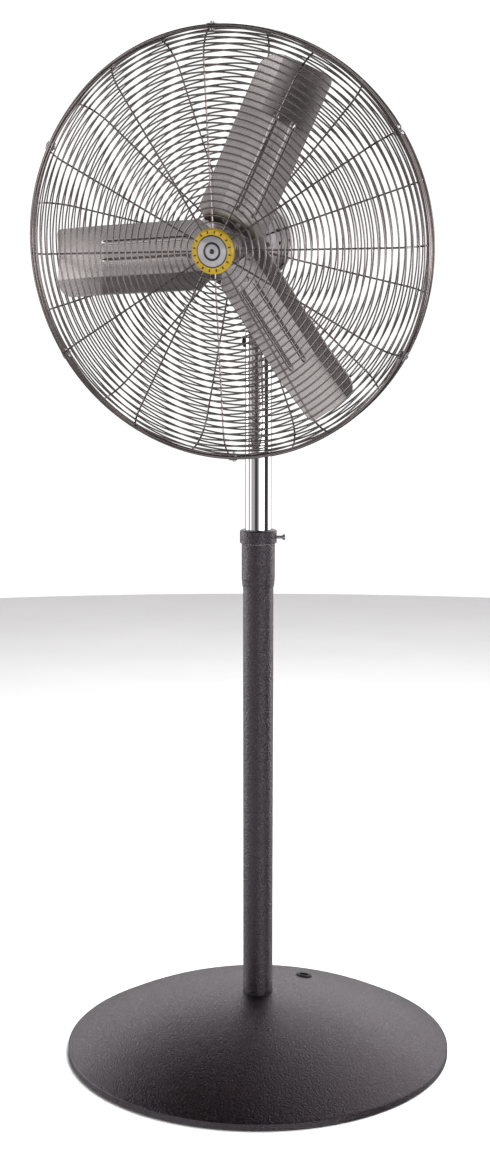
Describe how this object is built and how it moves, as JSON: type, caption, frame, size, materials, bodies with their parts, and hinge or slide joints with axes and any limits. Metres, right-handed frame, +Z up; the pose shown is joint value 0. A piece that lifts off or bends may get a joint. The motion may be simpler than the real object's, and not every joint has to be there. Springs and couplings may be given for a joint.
{
  "type": "pedestal fan",
  "caption": "Tall pedestal fan with a domed base, height-adjustable chrome column, tilting motor head, two round wire guards and wide metal blades.",
  "frame": {"origin": "on the floor under the column's axis, at the centre of the base", "axes": "+Z up along the column, the fan blows towards -Y, +X to the right when looking at the fan's front"},
  "size_m": [0.7667, 0.762, 1.9592],
  "materials": {
    "dark_coat": "textured powder coat",
    "chrome": "polished",
    "guard_wire": "bright zinc plated",
    "blade_metal": "mill finish",
    "plated_steel": "zinc plated",
    "black_plastic": "fine texture",
    "motor_paint": "semi gloss",
    "cast_metal": "as cast",
    "rubber": "matte",
    "nylon": "satin",
    "lamination": "varnished",
    "copper": "enamelled winding",
    "badge": "gloss",
    "ballast_iron": "painted"
  },
  "bodies": {
    "base": {"base_shell": "dark_coat", "base_ballast": "ballast_iron", "base_pads": "rubber", "base_grommet": "rubber", "pole_flange": "ballast_iron", "flange_bolts": "plated_steel", "flange_nuts": "plated_steel", "lower_pole": "dark_coat", "pole_sleeve": "dark_coat", "guide_bush": "nylon", "swivel_washer": "nylon"},
    "collar": {"lock_collar": "dark_coat"},
    "lock_screw": {"lock_screw": "plated_steel"},
    "mast": {"upper_tube": "chrome", "tube_insert": "black_plastic", "tube_glide": "nylon", "pivot_bolt": "black_plastic", "pivot_washers": "black_plastic"},
    "head": {"tilt_bracket": "cast_metal", "motor_foot": "motor_paint", "foot_bolts": "plated_steel", "foot_nuts": "plated_steel", "motor_shell": "motor_paint", "front_bell": "cast_metal", "rear_bell": "cast_metal", "through_bolts": "plated_steel", "stator_core": "lamination", "stator_windings": "copper", "bearing_outer_rings": "plated_steel", "bearing_balls": "plated_steel", "capacitor": "black_plastic", "speed_switch": "black_plastic", "capacitor_cover": "black_plastic", "cover_screws": "plated_steel", "cord_gland": "black_plastic", "rear_guard_frame": "guard_wire", "rear_guard_rings": "guard_wire", "rear_guard_rim": "guard_wire", "guard_screws": "plated_steel", "front_guard_frame": "guard_wire", "front_guard_rings": "guard_wire", "front_guard_rim": "guard_wire", "rim_clips": "plated_steel", "clip_screws": "plated_steel", "clip_nuts": "plated_steel", "badge_plate": "badge", "badge_nut": "plated_steel"},
    "tilt_knob": {"tilt_knob": "black_plastic"},
    "speed_knob": {"speed_knob": "black_plastic"},
    "rotor": {"motor_shaft": "plated_steel", "rotor_core": "lamination", "bearing_inner_rings": "plated_steel", "hub_spider": "cast_metal", "hub_set_screw": "plated_steel", "blade_1": "blade_metal", "blade_2": "blade_metal", "blade_3": "blade_metal", "blade_rivets": "plated_steel"}
  },
  "joints": [
    {"name": "head_swivel", "type": "hinge", "parent": "base", "child": "collar", "pos_m": [0, 0, 1.0227], "axis": [0, 0, 1], "range_deg": [-180, 180]},
    {"name": "height_slide", "type": "slide", "parent": "collar", "child": "mast", "axis": [0, 0, 1], "range_m": [-0.3, 0.28]},
    {"name": "head_tilt", "type": "hinge", "parent": "mast", "child": "head", "pos_m": [0, 0, 1.408], "axis": [-1, 0, 0], "range_deg": [-10, 30]},
    {"name": "blade_spin", "type": "hinge", "parent": "head", "child": "rotor", "pos_m": [0, -0.18, 1.574], "axis": [0, -0.9908, -0.1354], "continuous": true},
    {"name": "lock_screw_turn", "type": "hinge", "parent": "collar", "child": "lock_screw", "pos_m": [0, 0, 1.034], "axis": [0.9397, 0.342, 0], "range_deg": [0, 360]},
    {"name": "tilt_knob_turn", "type": "hinge", "parent": "mast", "child": "tilt_knob", "pos_m": [0.0395, 0, 1.408], "axis": [1, 0, 0], "range_deg": [0, 720]},
    {"name": "speed_knob_turn", "type": "hinge", "parent": "head", "child": "speed_knob", "pos_m": [-0.092, -0.02724, 1.60093], "axis": [0, 0.9908, 0.1354], "range_deg": [0, 270]}
  ]
}
